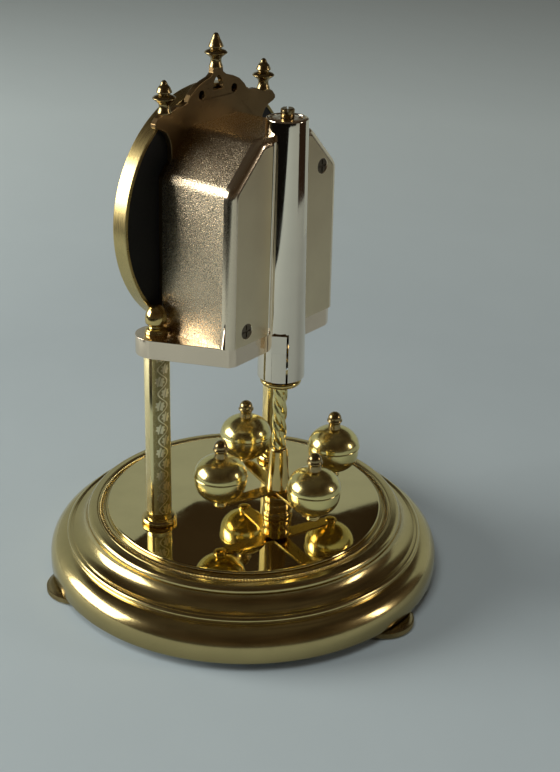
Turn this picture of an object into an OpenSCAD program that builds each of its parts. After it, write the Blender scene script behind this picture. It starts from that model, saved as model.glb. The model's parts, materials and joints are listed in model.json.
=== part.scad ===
// Anniversary clock: torsion pendulum under a plated movement housing,
// two pillars, spun brass base on three levelling feet.
// Millimetres. +Z up, the dial faces -Y, the suspension guard tube faces +Y.

/* [Base] */
// Outer radius of the spun base at its lip
base_r = 76; // [74:0.5:78]
// Height of the mirror-polished plate above the table
plate_z = 27.7; // [26.5:0.1:28.5]
// Radius of the mirror-polished plate
plate_r = 53.3; // [52:0.1:53.6]
// Radius of each knurled levelling disc
foot_r = 12; // [9:0.5:13]
// Distance of the levelling screws from the base's axis
foot_pcr = 67.5; // [66:0.5:68]

/* [Pillars and platform] */
// Half the distance between the two pillars
pillar_x = 34.2; // [33:0.1:36]
// Radius of the pillar tubes
pillar_r = 4.7; // [4:0.05:4.8]
// Underside of the platform
deck_z0 = 98; // [96:0.5:100]
// Thickness of the platform
deck_t = 7; // [6:0.5:7]
// Radius of the platform's round ends
deck_end_r = 7.6; // [7:0.1:8.5]

/* [Housing] */
// Half width of the back cover at its foot
cover_w = 29.9; // [29.4:0.1:30.2]
// Half width of the back cover where the chamfer starts
cover_w2 = 29.0; // [28.6:0.1:29.2]
// Half width of the cover's flat top
cover_w3 = 13.8; // [12:0.1:15]
// Height at which the chamfer starts
cham_z = 161; // [160:0.5:162]
// Height of the cover's flat top
cover_z1 = 176.2; // [175:0.1:177]
// Wall of the back cover
cover_wall = 1.6; // [1.4:0.1:1.8]

/* [Suspension and pendulum] */
// Guard tube's outer radius at its foot
tube_r0 = 8.7; // [8.4:0.1:8.8]
// Guard tube's outer radius at its top
tube_r1 = 7.4; // [7.2:0.1:7.6]
// Radius of the circle that the four balls hang on
ball_orbit = 25; // [24:0.5:26]
// Radius of each ball at its band
ball_r = 10.0; // [9.5:0.1:10.4]
// Turn of the pendulum cross at rest, in degrees
cross_turn = -20; // [-25:1:-15]

/* [Dial] */
// Radius of the bezel drum
dial_r = 44.9; // [44:0.1:45.5]
// Height of the dial's centre
dial_z = 143; // [142.5:0.1:143.5]

/* [Hidden] */
$fn = 96;

// the rear foot reaches past the base's lip, so the whole clock sits this far
// forward and the box around it is centred on the origin
y0 = -(foot_pcr + foot_r - base_r) / 2;
pillar_y = -13.5;
tube_y = 16.5;
deck_z1 = deck_z0 + deck_t;
back_y = 17.4;
front_y = -14.6;
tube_z0 = 86.2;
tube_z1 = 181.8;
bore_r = 6.3;
ball_z = 50.4;
arm_z0 = 37.9;
arm_z1 = 38.9;
finial_y = -15.8;
screw_at = [[20.9, 110.0], [-19.7, 161.1]];
tooth_k = 0.36;

module put() { translate([0, y0, 0]) children(); }
module at_axis() { translate([0, y0 + tube_y, 0]) children(); }
module both() { for (s = [-1, 1]) translate([s * pillar_x, y0 + pillar_y, 0]) children(); }
module spin(pts) { rotate_extrude() polygon(pts); }
// an upright plate drawn in X and Z, from ya (front) back to yb
module upright(ya, yb) { put() translate([0, yb, 0]) rotate([90, 0, 0]) linear_extrude(yb - ya) children(); }
// a shaft along Y at x, z
module along(x, z, ya, yb, r) { put() translate([x, ya, z]) rotate([-90, 0, 0]) cylinder(r = r, h = yb - ya); }
// points of an arc round c, radii a and b, angles from t0 to t1
function arc(c, a, b, t0, t1, n = 10) = [for (i = [0:n]) let (t = t0 + (t1 - t0) * i / n) [c[0] + a * cos(t), c[1] + b * sin(t)]];

// ---------- base ----------
module base_shell() color([0.80, 0.62, 0.25]) put() spin(concat(
    [[50, 26.4], [53.8, 26.4], [54.1, 26.2], [54.1, 25.5], [57.5, 25.5], [57.5, 26.35], [59.0, 26.2]],
    arc([59.3, 24.2], 2.0, 2.0, 80, 0, 6),
    [[61.2, 23.4], [61.0, 22.7]],
    arc([67.6, 25.0], 6.5, 6.4, 203, 266, 8),
    [[67.9, 18.75], [68.9, 18.3], [69.3, 17.5], [69.0, 16.6]],
    arc([68.6, 8.2], base_r - 68.6, 8.2, 84, 0, 14),
    [[base_r, 5.0], [base_r - 0.5, 4.0], [74.6, 4.0], [74.6, 8.0]],
    arc([68.3, 8.0], 6.3, 6.9, 8, 80, 10),
    [[67.4, 16.6], [66.6, 17.4], [63.6, 18.4], [61.2, 20.0], [59.7, 22.0], [59.6, 23.6], [58.6, 24.1], [50, 24.4]]));

module mirror_plate() color([0.82, 0.64, 0.28]) put() difference() {
    spin(concat([[0, 26.4], [plate_r - 0.1, 26.4]], arc([plate_r - 0.7, plate_z - 0.7], 0.7, 0.7, 0, 90, 5), [[0, plate_z]]));
    for (s = [-1, 1]) translate([s * pillar_x, pillar_y, 20]) cylinder(r = 2.1, h = 12);
}

// a row of small beads between two fine lips
module beaded_ring() color([0.78, 0.60, 0.24]) put() spin([[54.15, 25.5], [57.45, 25.5], [57.45, 26.2], [57.1, 26.45], [56.7, 26.2],
    [56.4, 26.65], [55.7, 26.75], [55.1, 26.65], [54.8, 26.2], [54.5, 26.4], [54.15, 26.2]]);

module bottom_plate() color([0.45, 0.45, 0.47]) put() difference() {
    translate([0, 0, 5.0]) cylinder(r = 74.6, h = 1.5);
    for (a = [90, 210, 330]) rotate(a) translate([foot_pcr, 0, 0]) cylinder(r = 2.9, h = 10);
}

module foot_bushes() color([0.75, 0.6, 0.3]) put() for (a = [90, 210, 330]) rotate(a) translate([foot_pcr, 0, 6.5]) difference() {
    cylinder(r = 4.6, h = 5.0);
    translate([0, 0, -1]) cylinder(r = 2.55, h = 8);
}

function knurl(n, r, d) = [for (i = [0:n - 1], k = [0:3]) let (t = (i + [0, 0.3, 0.5, 0.8][k]) * 360 / n, q = [r - d, r, r, r - d][k]) [q * cos(t), q * sin(t)]];
module foot(a) color([0.80, 0.60, 0.25]) put() rotate(a) translate([foot_pcr, 0, 0]) {
    cylinder(r1 = foot_r - 1.6, r2 = foot_r - 0.5, h = 0.8);
    translate([0, 0, 0.8]) linear_extrude(2.0) polygon(knurl(72, foot_r, 0.35));
    translate([0, 0, 2.8]) cylinder(r1 = foot_r - 0.5, r2 = foot_r - 1.6, h = 0.6);
    translate([0, 0, 3.4]) cylinder(r = 2.5, h = 9.4);
}
module foot_rear() foot(90);
module foot_left() foot(210);
module foot_right() foot(330);

module guide_cup() color([0.80, 0.60, 0.22]) at_axis() spin([[0, 27.7], [5.9, 27.7], [5.9, 29.2], [5.6, 29.5], [5.35, 29.7], [5.5, 30.1],
    [5.5, 36.4], [5.2, 36.9], [4.4, 36.9], [4.2, 36.6], [4.2, 30.4], [0, 30.4]]);

// ---------- pillars ----------
module pillars() color([0.78, 0.62, 0.28]) both() translate([0, 0, plate_z]) difference() {
    cylinder(r = pillar_r, h = deck_z0 - plate_z);
    translate([0, 0, -1]) cylinder(r = 2.1, h = deck_z0);
}
module pillar_collars() color([0.80, 0.60, 0.22]) both() translate([0, 0, plate_z]) rotate_extrude()
    polygon(concat([[pillar_r, 0]], arc([5.5, 1.3], 1.2, 1.3, -90, 80, 10), [[pillar_r, 2.6]]));
module tie_rods() color([0.6, 0.6, 0.62]) both() translate([0, 0, 21]) cylinder(r = 2.0, h = deck_z1 + 5.0 - 21);
module acorn_nuts() color([0.78, 0.58, 0.24]) both() difference() {
    spin(concat([[0, deck_z1], [4.2, deck_z1], [4.2, deck_z1 + 0.8], [3.9, deck_z1 + 1.1], [3.9, deck_z1 + 1.9], [2.9, deck_z1 + 2.3],
        [2.6, deck_z1 + 3.2], [3.3, deck_z1 + 3.7]], arc([0, deck_z1 + 5.6], 4.0, 5.3, -18, 90, 12)));
    cylinder(r = 2.05, h = deck_z1 + 5.1);
}
module base_nuts() color([0.7, 0.55, 0.3]) both() difference() {
    translate([0, 0, 23.8]) cylinder(r = 4.2, h = 2.6, $fn = 6);
    cylinder(r = 2.05, h = 60);
}

// ---------- platform ----------
module deck_outline() difference() {
    union() {
        for (s = [-1, 1]) translate([s * pillar_x, pillar_y]) circle(r = deck_end_r);
        polygon([[-pillar_x - deck_end_r, pillar_y], [-pillar_x - deck_end_r + 0.5, pillar_y + 3.2], [-30.2, 12.6], [-28.6, 15.9], [-26.0, 16.9],
            [26.0, 16.9], [28.6, 15.9], [30.2, 12.6], [pillar_x + deck_end_r - 0.5, pillar_y + 3.2], [pillar_x + deck_end_r, pillar_y],
            [27, pillar_y - 1.4], [24, -14.0], [-24, -14.0], [-27, pillar_y - 1.4]]);
    }
    translate([0, tube_y]) circle(r = tube_r0);
}
module platform() color([0.83, 0.72, 0.55]) put() difference() {
    translate([0, 0, deck_z0]) linear_extrude(deck_t) deck_outline();
    for (s = [-1, 1]) translate([s * pillar_x, pillar_y, 0]) cylinder(r = 2.1, h = 200);
}

// ---------- housing ----------
module cover_shape(d) polygon([[-cover_w + d, deck_z1 + (d > 0 ? 2 : 0)], [cover_w - d, deck_z1 + (d > 0 ? 2 : 0)], [cover_w2 - d, cham_z],
    [cover_w3 - d * 0.6, cover_z1 - d], [-cover_w3 + d * 0.6, cover_z1 - d], [-cover_w2 + d, cham_z]]);
// outline of the cover seen from above, with its round rear corners
module cover_plan(w) polygon(concat([[-w, front_y], [w, front_y]], arc([w - 2.8, back_y - 2.8], 2.8, 2.8, 0, 90, 8), arc([-w + 2.8, back_y - 2.8], 2.8, 2.8, 90, 180, 8)));
module tube_body(g = 0) translate([0, tube_y, tube_z0]) cylinder(r1 = tube_r0 + g, r2 = tube_r1 + g, h = tube_z1 - tube_z0);
module back_cover() color([0.84, 0.74, 0.58]) put() difference() {
    intersection() {
        translate([0, back_y + 1, 0]) rotate([90, 0, 0]) linear_extrude(back_y + 1 - front_y) cover_shape(0);
        translate([0, 0, 100]) linear_extrude(80) cover_plan(cover_w);
    }
    translate([0, back_y - cover_wall, 0]) rotate([90, 0, 0]) linear_extrude(40) cover_shape(cover_wall);
    tube_body();
    // sunk holes for the two cover screws
    for (p = screw_at) translate([p[0], back_y + 1, p[1]]) rotate([90, 0, 0]) {
        cylinder(r = 3.1, h = 1.9);
        cylinder(r = 1.6, h = 6);
    }
}
module cover_screws() color([0.55, 0.5, 0.42]) put() for (p = screw_at) translate([p[0], back_y - 0.9, p[1]]) rotate([90, 0, 0]) difference() {
    union() {
        translate([0, 0, -0.7]) cylinder(r = 2.8, h = 0.7);
        cylinder(r = 1.5, h = 5);
    }
    translate([0, 0, -0.7]) cube([4.4, 0.7, 0.7], center = true);
    translate([0, 0, -0.7]) cube([0.7, 4.4, 0.7], center = true);
}
// the tapered tube that guards the suspension spring
module guard_tube() color([0.85, 0.78, 0.66]) difference() {
    union() {
        put() tube_body();
        // the tube's flat flange against the cover's back
        upright(back_y, back_y + 0.45) polygon([[-9.5, deck_z1], [9.5, deck_z1], [8.5, cover_z1 - 1.4], [-8.5, cover_z1 - 1.4]]);
    }
    at_axis() translate([0, 0, tube_z0 - 1]) cylinder(r = bore_r, h = 120);
    // window for the impulse fork
    at_axis() translate([0, -6.5, 162.5]) cube([11, 7, 22], center = true);
    // slot for the key
    at_axis() rotate(33) translate([8, 0.3, 94.7]) cube([7, 6.0, 21.2], center = true);
}
module tube_key() color([0.85, 0.78, 0.66]) at_axis() rotate(33) difference() {
    union() {
        // the finger block above, the thin tongue below
        translate([7.4, 0, 101.9]) cube([4.4, 5.4, 6.6], center = true);
        intersection() {
            translate([7.4, 0, 92.55]) cube([4.8, 5.2, 12.1], center = true);
            translate([0, 0, 80]) cylinder(r = 8.95, h = 40);
        }
    }
    translate([0, 0, 79]) cylinder(r = bore_r, h = 42);
}
module tube_cap() color([0.84, 0.76, 0.62]) at_axis() difference() {
    translate([0, 0, 179.6]) cylinder(r = bore_r, h = 2.0);
    translate([0, 0, 170]) cylinder(r = 1.55, h = 20);
    translate([-3.4, 3.0, 180.6]) cylinder(r = 0.8, h = 4);
}

// ---------- suspension ----------
module adjuster_stud() color([0.78, 0.56, 0.26]) at_axis() difference() {
    union() {
        translate([0, 0, 178.4]) cylinder(r = 1.5, h = 3.4);
        translate([0, 0, 181.7]) cylinder(r = 2.4, h = 2.9);
        translate([0, 0, 184.6]) cylinder(r1 = 2.4, r2 = 2.0, h = 0.4);
    }
    translate([0, 0, 184.7]) rotate(40) cube([6, 0.6, 1.2], center = true);
}
module top_saddle() color([0.75, 0.58, 0.3]) at_axis() translate([-2.2, -1.6, 173.6]) cube([4.4, 3.2, 4.8]);
module suspension_spring() color([0.7, 0.6, 0.4]) at_axis() translate([-0.45, -0.06, 96]) cube([0.9, 0.12, 77.6]);
module bottom_block() color([0.75, 0.58, 0.3]) at_axis() translate([-2.2, -1.6, 91.6]) cube([4.4, 3.2, 4.4]);
module impulse_fork() color([0.76, 0.6, 0.3]) at_axis() difference() {
    union() {
        translate([-2.0, -1.2, 166]) cube([4.0, 2.4, 3.0]);
        for (s = [-1, 1]) translate([s * 1.45 - 0.35, -7.6, 167.0]) cube([0.7, 6.6, 1.0]);
    }
    translate([0, 0, 167]) cube([1.3, 0.5, 8], center = true);
}
module impulse_lever() color([0.76, 0.6, 0.3]) {
    along(0, 153.2, 3.0, 10.8, 0.8);
    put() translate([0, 10.2, 153.2]) cylinder(r = 0.5, h = 16);
}

// ---------- pendulum ----------
module at_balls() { at_axis() rotate(cross_turn) for (k = [0:3]) rotate(90 * k) translate([ball_orbit, 0, 0]) children(); }
module top_cap() color([0.78, 0.58, 0.22]) at_axis() spin([[0, 81.4], [3.6, 81.4], [5.4, 82.4], [7.3, 83.4], [7.6, 84.0], [7.6, 84.8], [7.2, 85.3], [1.2, 85.3], [1.2, 91.6], [0, 91.6]]);
module twist_rod() color([0.80, 0.62, 0.25]) at_axis() translate([0, 0, 56.3]) linear_extrude(25.1, twist = 400, slices = 40)
    polygon([for (i = [0:31]) let (t = i * 11.25, q = 2.35 + 0.5 * abs(cos(1.5 * t))) [q * cos(t), q * sin(t)]]);
module rod_cone() color([0.80, 0.58, 0.22]) at_axis() spin([[0, arm_z1], [4.5, arm_z1], [4.5, 39.6], [3.25, 55.4], [3.0, 56.3], [0, 56.3]]);
module spider() color([0.78, 0.56, 0.22]) at_axis() difference() {
    rotate(cross_turn) translate([0, 0, arm_z0]) linear_extrude(arm_z1 - arm_z0) union() {
        for (k = [0:3]) rotate(90 * k) {
            polygon([[0, -2.9], [6, -2.9], [ball_orbit - 2, -2.3], [ball_orbit - 2, 2.3], [6, 2.9], [0, 2.9]]);
            translate([ball_orbit, 0]) circle(r = 2.6);
        }
        circle(r = 4.3);
    }
    rotate(cross_turn) for (k = [0:3]) rotate(90 * k) translate([ball_orbit, 0, 30]) cylinder(r = 1.2, h = 20);
    translate([0, 0, 30]) cylinder(r = 1.2, h = 20);
}
module guide_pin() color([0.75, 0.55, 0.25]) at_axis() {
    translate([0, 0, 32.2]) cylinder(r = 1.2, h = arm_z1 - 32.2);
    translate([0, 0, 36.9 + 0.3]) cylinder(r = 2.4, h = arm_z0 - 37.2);
}
module ball_tops() color([0.80, 0.66, 0.30]) at_balls() difference() {
    spin(concat([[0, ball_z + 0.2], [ball_r, ball_z + 0.2], [ball_r + 0.1, ball_z + 0.4], [ball_r, ball_z + 0.7]], arc([0, ball_z + 0.6], ball_r - 0.1, ball_r - 2.5, 6, 90, 14)));
    translate([0, 0, 40]) cylinder(r = 1.2, h = 60);
    translate([0, 0, 57.4]) cylinder(r = 2.52, h = 10);
}
module ball_bottoms() color([0.80, 0.62, 0.26]) at_balls() difference() {
    spin(concat([[0, ball_z + 0.2], [ball_r - 0.25, ball_z + 0.2], [ball_r - 0.25, ball_z - 1.9]], arc([0, ball_z - 2.0], ball_r - 0.3, ball_r - 1.7, 0, -90, 14)));
    translate([0, 0, 30]) cylinder(r = 1.2, h = 60);
}
module ball_knobs() color([0.70, 0.52, 0.22]) at_balls() spin(concat([[0, 55], [1.2, 55], [1.2, 57.4], [2.5, 57.4], [2.45, 58.6], [2.3, 59.6], [2.35, 60.7], [2.6, 61.1], [2.95, 61.4], [2.85, 61.8], [2.6, 62.1]],
    arc([0, 62.3], 2.55, 2.7, 0, 90, 8)));
module ball_rivets() color([0.78, 0.56, 0.22]) at_balls() spin([[0, 37.3], [1.7, 37.45], [2.2, 37.9], [1.2, 37.9], [1.2, arm_z1], [2.5, arm_z1], [2.4, 39.5], [1.9, 40.05], [1.2, 40.05], [1.2, 44], [0, 44]]);

// ---------- dial ----------
module about_dial() { put() translate([0, 0, dial_z]) rotate([-90, 0, 0]) children(); }
module bezel() color([0.82, 0.68, 0.32]) about_dial() rotate_extrude() polygon([[dial_r - 1.2, -17.0], [dial_r, -17.0], [dial_r, -22.9], [dial_r - 0.5, -23.4],
    [dial_r - 2.2, -23.4], [dial_r - 4.2, -22.2], [dial_r - 4.2, -21.7], [dial_r - 1.2, -21.7]]);
module dial_plate() color([0.93, 0.91, 0.84]) about_dial() difference() {
    translate([0, 0, -21.7]) cylinder(r = dial_r - 1.2, h = 0.8);
    translate([0, 0, -30]) cylinder(r = 4.05, h = 20);
}
module dial_back() color([0.10, 0.09, 0.08]) about_dial() difference() {
    translate([0, 0, -18.0]) cylinder(r = dial_r - 1.2, h = 0.8);
    translate([0, 0, -30]) cylinder(r = 4.05, h = 20);
}
module hand(len, w, tail, hub, hole) difference() {
    union() {
        circle(r = hub);
        polygon([[-0.5, 0], [-0.5, len * 0.30], [-w, len * 0.52], [-0.55, len * 0.72], [0, len], [0.55, len * 0.72], [w, len * 0.52], [0.5, len * 0.30], [0.5, 0], [0.4, -tail], [-0.4, -tail]]);
        translate([0, len * 0.30]) circle(r = w * 0.8);
    }
    circle(r = hole);
    polygon([[0, len * 0.40], [-w * 0.5, len * 0.52], [0, len * 0.64], [w * 0.5, len * 0.52]]);
}
module hour_hand() color([0.12, 0.11, 0.10]) about_dial() translate([0, 0, -24.9]) linear_extrude(0.5) rotate(125) hand(23, 2.3, 4, 3.4, 2.0);
module minute_hand() color([0.12, 0.11, 0.10]) about_dial() translate([0, 0, -26.3]) linear_extrude(0.5) rotate(240) hand(34, 2.0, 5, 2.6, 0.75);
module hand_cap() color([0.78, 0.6, 0.25]) about_dial() rotate_extrude() polygon([[0.75, -26.3], [1.8, -26.3], [1.7, -27.0], [0.9, -27.6], [0, -27.7], [0, -27.2], [0.75, -27.2]]);

function crest_half() = [[2.5, 193.9], [2.6, 192.4], [4.2, 191.2], [8.0, 190.1], [11.5, 188.6], [14.2, 186.4], [15.8, 184.3], [17.6, 183.6], [21.0, 183.5],
    [23.4, 182.6], [24.2, 182.2], [28.2, 182.2], [30.2, 181.2], [31.9, 179.4], [31.9, 178.2], [30.6, 177.4], [28.2, 176.6], [26.2, 175.2], [24.8, 173.0], [24.0, 170.0], [24.0, 165.0], [28.4, 160.5], [29.0, 106.0]];
module crest_plate() color([0.80, 0.66, 0.40]) upright(-16.9, front_y) difference() {
    polygon(concat(crest_half(), [for (i = [len(crest_half()) - 1:-1:0]) let (p = crest_half()[i]) [-p[0], p[1]]]));
    // pointed arch and two round piercings
    polygon(concat([[-2.5, 186.4], [2.5, 186.4], [2.6, 187.6], [2.1, 189.3], [1.2, 190.5], [0, 191.3]], [[-1.2, 190.5], [-2.1, 189.3], [-2.6, 187.6]]));
    for (s = [-1, 1]) translate([s * 8.6, 185.6]) circle(r = 1.5, $fn = 32);
    translate([0, dial_z]) circle(r = 4.05);
}
function finial_pts(h) = [[0, 0], [2.5, 0], [2.35, 0.9], [2.0, 1.6], [1.9, 2.6], [2.1, 3.4], [3.0, 4.1], [4.0, 4.9], [4.05, 5.2], [3.5, 5.8], [2.1, 6.3], [2.0, 6.7],
    [2.65, 7.0], [2.6, 7.4], [2.2, 8.5], [1.6, 9.7], [1.15, 10.7], [0.8, h - 0.15], [0, h]];
module finial(x, z, h) put() translate([x, finial_y, z]) spin(finial_pts(h));
module side_finials() color([0.76, 0.56, 0.22]) for (s = [-1, 1]) finial(s * 26.2, 182.2, 11.2);
module centre_finial() color([0.76, 0.56, 0.22]) finial(0, 193.9, 11.9);

// ---------- movement ----------
// teeth stand n to the turn on pitch radius m n / 2; ph is the angle of one tooth
module teeth(n, m, ph) rotate(ph) polygon([for (i = [0:n - 1], k = [0:3]) let (
    t = (i + [-tooth_k * 0.72, -tooth_k * 0.30, tooth_k * 0.30, tooth_k * 0.72][k]) * 360 / n,
    q = m * n / 2 + m * [-1.0, 0.75, 0.75, -1.0][k]) [q * cos(t), q * sin(t)]]);
module gear(x, z, ya, yb, n, m, ph) upright(ya, yb) translate([x, z]) teeth(n, m, ph);
// the tooth angle that meshes with a gear of na teeth at angle pa, seen along direction b
function mesh(na, pa, nb, b) = b + 180 - (0.5 - (b - pa) * na / 360) * 360 / nb;

arb3 = [-6.2354, dial_z - 3.6];
arb4 = [arb3[0] - 6.8, arb3[1]];
arb5 = [arb4[0], arb4[1] + 6.8];
arbr = [arb5[0] + 4.0, arb5[1]];
mot = [0, dial_z + 6.0];

module centre_wheel() color([0.8, 0.65, 0.35]) {
    gear(0, dial_z, -10.4, -9.8, 64, 0.2, 0);
    gear(0, dial_z, -12.0, -11.0, 12, 0.25, 15);
    along(0, dial_z, -11.0, -10.4, 1.6);
    along(0, dial_z, -27.2, -8.9, 0.75);
}
module motion_wheel() color([0.85, 0.85, 0.8]) {
    gear(mot[0], mot[1], -11.8, -11.2, 36, 0.25, mesh(12, 15, 36, 90));
    gear(mot[0], mot[1], -13.0, -11.8, 10, 0.24, 18);
    along(mot[0], mot[1], -11.2, -10.6, 0.5);
}
module hour_wheel() color([0.85, 0.85, 0.8]) difference() {
    union() {
        gear(0, dial_z, -12.9, -12.3, 40, 0.24, mesh(10, 18, 40, -90));
        along(0, dial_z, -24.9, -12.9, 2.0);
    }
    along(0, dial_z, -30, 0, 0.82);
}
module third_wheel() color([0.85, 0.85, 0.8]) {
    gear(arb3[0], arb3[1], -10.6, -8.8, 8, 0.2, mesh(64, 0, 8, 210));
    gear(arb3[0], arb3[1], -8.8, -8.2, 60, 0.2, 0);
    along(arb3[0], arb3[1], -8.2, -7.6, 0.4);
}
module fourth_wheel() color([0.85, 0.85, 0.8]) {
    gear(arb4[0], arb4[1], -9.0, -7.2, 8, 0.2, mesh(60, 0, 8, 180));
    gear(arb4[0], arb4[1], -7.2, -6.6, 60, 0.2, 0);
    along(arb4[0], arb4[1], -6.6, -6.0, 0.4);
}
module intermediate_wheel() color([0.85, 0.85, 0.8]) {
    gear(arb5[0], arb5[1], -7.4, -5.6, 8, 0.2, mesh(60, 0, 8, 90));
    gear(arb5[0], arb5[1], -5.6, -5.0, 32, 0.2, 0);
    along(arb5[0], arb5[1], -5.0, -4.4, 0.4);
}
module rotor() color([0.3, 0.3, 0.32]) {
    gear(arbr[0], arbr[1], -5.8, -4.4, 8, 0.2, mesh(32, 0, 8, 0));
    along(arbr[0], arbr[1], -4.4, -2.0, 2.6);
    along(arbr[0], arbr[1], -2.0, -1.4, 0.4);
}
// the lamination loop: a ring round the rotor, two bars and the coil's leg
module stator() color([0.6, 0.6, 0.62]) upright(-3.6, -3.0) difference() {
    union() {
        translate([arbr[0], arbr[1]]) circle(r = 5);
        translate([arbr[0] - 4, arbr[1]]) square([8, 8]);
        translate([arbr[0] - 4, arbr[1] + 4.5]) square([27, 3.5]);
        translate([arbr[0] + 19, arbr[1] - 14]) square([4, 22]);
        translate([arbr[0] + 1, arbr[1] - 14]) square([22, 3.5]);
        translate([arbr[0] + 1, arbr[1] - 14]) square([3, 14]);
    }
    translate([arbr[0], arbr[1]]) circle(r = 3.1);
}
module coil() color([0.6, 0.3, 0.15]) difference() {
    put() translate([arbr[0] + 21, -3.3, arbr[1] - 10.3]) union() {
        cylinder(r = 3.9, h = 0.8);
        translate([0, 0, 0.7]) cylinder(r = 3.4, h = 12.9);
        translate([0, 0, 13.5]) cylinder(r = 3.9, h = 0.8);
    }
    put() translate([arbr[0] + 21, -3.3, arbr[1]]) cube([4.1, 0.7, 40], center = true);
}
module case_shape(d) polygon([[-27 + d, 107.2 + d], [27 - d, 107.2 + d], [27 - d, 124], [25 - d, 126], [25 - d, 156 - d], [-25 + d, 156 - d], [-25 + d, 126], [-27 + d, 124]]);
module movement_case() color([0.12, 0.12, 0.13]) difference() {
    union() {
        upright(-14.2, 5.4) case_shape(0);
        along(0, dial_z, -22.4, -14.2, 4.0);
    }
    upright(-13.2, 6.0) case_shape(1.0);
    along(0, dial_z, -30, -10, 2.06);
}
module movement_lid() color([0.14, 0.14, 0.15]) difference() {
    upright(5.4, 6.4) case_shape(0);
    along(0, 153.2, 0, 12, 0.86);
}
module battery() color([0.75, 0.6, 0.3]) put() translate([0, -4.6, 115.6]) rotate([0, 90, 0]) {
    translate([0, 0, -25.0]) cylinder(r = 7.1, h = 49.2);
    translate([0, 0, 24.2]) cylinder(r = 2.7, h = 1.2);
}
module battery_contacts() color([0.7, 0.7, 0.72]) put() {
    translate([25.4, -8.1, 111]) cube([0.4, 7, 9]);
    translate([-25.6, -8.1, 111]) cube([0.6, 7, 9]);
}
module circuit_board() color([0.15, 0.35, 0.2]) put() translate([-22, 2.2, 126]) cube([44, 1.0, 22]);
module fixing_nut() color([0.78, 0.6, 0.25]) about_dial() difference() {
    translate([0, 0, -22.9]) cylinder(r = 6.6, h = 1.2, $fn = 6);
    translate([0, 0, -30]) cylinder(r = 4.05, h = 20);
}

base_shell();
mirror_plate();
beaded_ring();
bottom_plate();
foot_bushes();
foot_left();
foot_right();
foot_rear();
guide_cup();
pillars();
pillar_collars();
tie_rods();
acorn_nuts();
base_nuts();
platform();
back_cover();
cover_screws();
guard_tube();
tube_key();
tube_cap();
adjuster_stud();
top_saddle();
suspension_spring();
bottom_block();
impulse_fork();
impulse_lever();
top_cap();
twist_rod();
rod_cone();
spider();
ball_tops();
ball_bottoms();
ball_knobs();
ball_rivets();
guide_pin();
bezel();
dial_plate();
dial_back();
hour_hand();
minute_hand();
hand_cap();
crest_plate();
side_finials();
centre_finial();
movement_case();
movement_lid();
battery();
battery_contacts();
circuit_board();
coil();
stator();
rotor();
intermediate_wheel();
fourth_wheel();
third_wheel();
centre_wheel();
motion_wheel();
hour_wheel();
fixing_nut();
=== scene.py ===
"""Looks for the anniversary clock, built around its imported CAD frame."""
import bpy
import bmesh
import json
import math
from math import sin, cos, pi, radians, sqrt, atan2
from mathutils import Vector, Matrix
from mathutils.geometry import tessellate_polygon


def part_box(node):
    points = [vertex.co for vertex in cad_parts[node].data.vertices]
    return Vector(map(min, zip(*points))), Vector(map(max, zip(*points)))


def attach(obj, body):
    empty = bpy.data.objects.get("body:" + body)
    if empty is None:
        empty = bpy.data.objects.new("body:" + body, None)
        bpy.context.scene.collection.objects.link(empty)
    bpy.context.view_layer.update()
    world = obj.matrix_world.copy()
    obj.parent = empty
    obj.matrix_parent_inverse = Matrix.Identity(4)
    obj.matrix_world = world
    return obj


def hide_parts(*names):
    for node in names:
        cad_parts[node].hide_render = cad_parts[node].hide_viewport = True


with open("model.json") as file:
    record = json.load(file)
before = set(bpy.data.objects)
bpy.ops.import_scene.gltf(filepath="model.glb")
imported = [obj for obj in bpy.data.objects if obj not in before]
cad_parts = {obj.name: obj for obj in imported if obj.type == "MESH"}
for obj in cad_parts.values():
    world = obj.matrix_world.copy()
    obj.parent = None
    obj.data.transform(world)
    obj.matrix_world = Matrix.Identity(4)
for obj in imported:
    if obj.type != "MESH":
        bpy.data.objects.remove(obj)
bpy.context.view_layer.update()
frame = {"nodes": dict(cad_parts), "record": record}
NODES = frame["nodes"]
BODY = {}
for _b, _ns in frame["record"]["behaviour"]["bodies"].items():
    for _n in _ns:
        BODY[_n] = _b
MM = 0.001


def mid(node):
    lo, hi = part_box(node)
    return [(lo[i] + hi[i]) / 2 for i in range(3)]


_, CY, _ = mid("mirror_plate")
CX = 0.0
TX, TY, _ = mid("twist_rod")
PX = abs(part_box("pillars")[1][0]) - 4.7 * MM
PY = mid("pillars")[1]
DZ = mid("dial_plate")[2]

# ---------------------------------------------------------------- materials


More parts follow.
